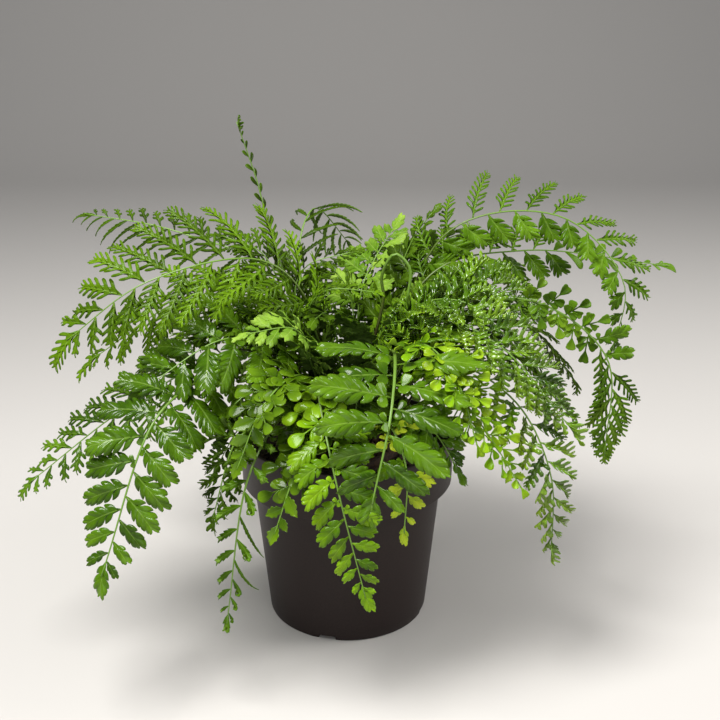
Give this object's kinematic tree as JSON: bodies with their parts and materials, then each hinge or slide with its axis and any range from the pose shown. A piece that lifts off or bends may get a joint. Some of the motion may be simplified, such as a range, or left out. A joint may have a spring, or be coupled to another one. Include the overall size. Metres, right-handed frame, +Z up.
{
  "type": "potted fern",
  "caption": "Potted fern: a clump of arching, finely cut fronds, from feathery to broad and rounded, grown from a scaly crown in a plain black nursery pot.",
  "frame": {"origin": "middle of the pot's foot, on the surface it stands on", "axes": "+Z up, +X to the right and -Y to the front as the plant is seen in the picture"},
  "size_m": [0.3709, 0.2731, 0.281],
  "materials": {
    "pot_plastic": "satin",
    "potting_soil": "matte",
    "crown_scales": "matte",
    "leaf_mid": "satin",
    "leaf_dark": "satin",
    "leaf_broad": "satin",
    "leaf_bright": "satin",
    "leaf_gloss": "gloss",
    "stalk": "satin"
  },
  "bodies": {
    "root": {"pot": "pot_plastic", "soil": "potting_soil", "crown": "crown_scales", "frond_leftHigh": "leaf_mid", "frond_frontBroad": "leaf_broad", "frond_leftBroad": "leaf_broad", "frond_rightArchTop": "leaf_mid", "frond_rightArchTwo": "leaf_mid", "frond_rightHang": "leaf_gloss", "frond_frontLight": "leaf_bright", "frond_leftLow": "leaf_mid", "frond_rightLight": "leaf_bright", "frond_youngTall": "leaf_mid", "frond_backFan": "leaf_mid", "frond_leftBack": "leaf_mid", "frond_leftHangCurl": "leaf_mid", "frond_rightGloss": "leaf_gloss", "frond_rightGlossLow": "leaf_gloss", "frond_backLight": "leaf_broad", "frond_crozier": "stalk", "frond_frontLeftLight": "leaf_bright", "frond_frontRightRound": "leaf_bright", "frond_leftBroadHigh": "leaf_broad", "frond_leftHangFine": "leaf_gloss", "frond_leftMid": "leaf_mid", "frond_frontLeftLow": "leaf_bright", "frond_frontYellow": "leaf_bright", "frond_rightMidA": "leaf_gloss", "frond_rightMidB": "leaf_gloss", "frond_rightMidC": "leaf_broad", "frond_centreRound": "leaf_bright", "frond_youngPale": "leaf_broad", "frond_darkInner": "leaf_broad", "frond_frontDark": "leaf_broad", "frond_rightLow": "leaf_dark", "frond_backRight": "leaf_dark", "frond_backRightLow": "leaf_dark", "frond_backTall": "leaf_dark", "frond_backMiddle": "leaf_dark", "frond_backLow": "leaf_broad", "frond_backLeft": "leaf_dark", "frond_backLeftLow": "leaf_dark", "frond_backLeftMiddle": "leaf_broad", "frond_combDark": "leaf_dark", "frond_innerFeather": "leaf_mid", "frond_innerShade": "leaf_broad", "frond_innerRound": "leaf_bright", "frond_darkHigh": "leaf_broad", "frond_darkMiddle": "leaf_broad", "frond_darkLow": "leaf_broad", "frond_leftInner": "leaf_dark", "frond_leftInnerLow": "leaf_dark", "frond_leftBackInner": "leaf_dark", "frond_youngGloss": "leaf_gloss", "frond_centreDark": "leaf_broad", "frond_rimDark": "leaf_broad", "frond_rimRound": "leaf_bright", "frond_rimLeft": "leaf_broad", "frond_limeInner": "leaf_broad"}
  },
  "joints": []
}
